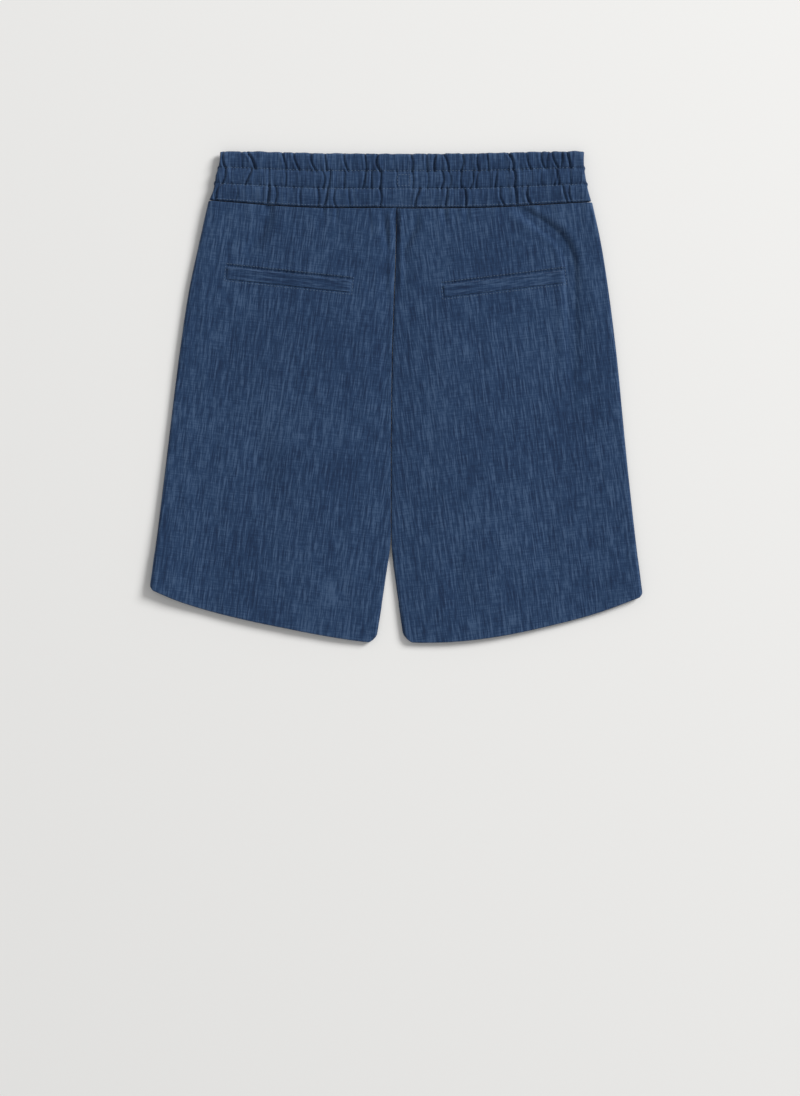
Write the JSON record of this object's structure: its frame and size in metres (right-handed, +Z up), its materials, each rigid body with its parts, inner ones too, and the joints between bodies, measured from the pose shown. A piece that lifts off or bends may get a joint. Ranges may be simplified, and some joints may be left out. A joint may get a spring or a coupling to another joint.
{
  "type": "bermuda shorts",
  "caption": "Pull-on linen bermuda shorts laid flat with the back upward: gathered elastic waistband, welt pockets and turned-up hems.",
  "frame": {"origin": "middle of the underside, where the laid shorts rest on a surface", "axes": "+Z up out of the back of the shorts, +Y from the hems to the waist, +X to the wearer's right"},
  "size_m": [0.5082, 0.5062, 0.0105],
  "materials": {
    "linen": "matte slubby blue linen",
    "thread": "tonal sewing thread"
  },
  "bodies": {
    "root": {"back_left": "linen", "back_right": "linen", "front_left": "linen", "front_right": "linen", "waistband_back": "linen", "waistband_front": "linen", "welt_left": "linen", "welt_right": "linen"}
  },
  "joints": []
}
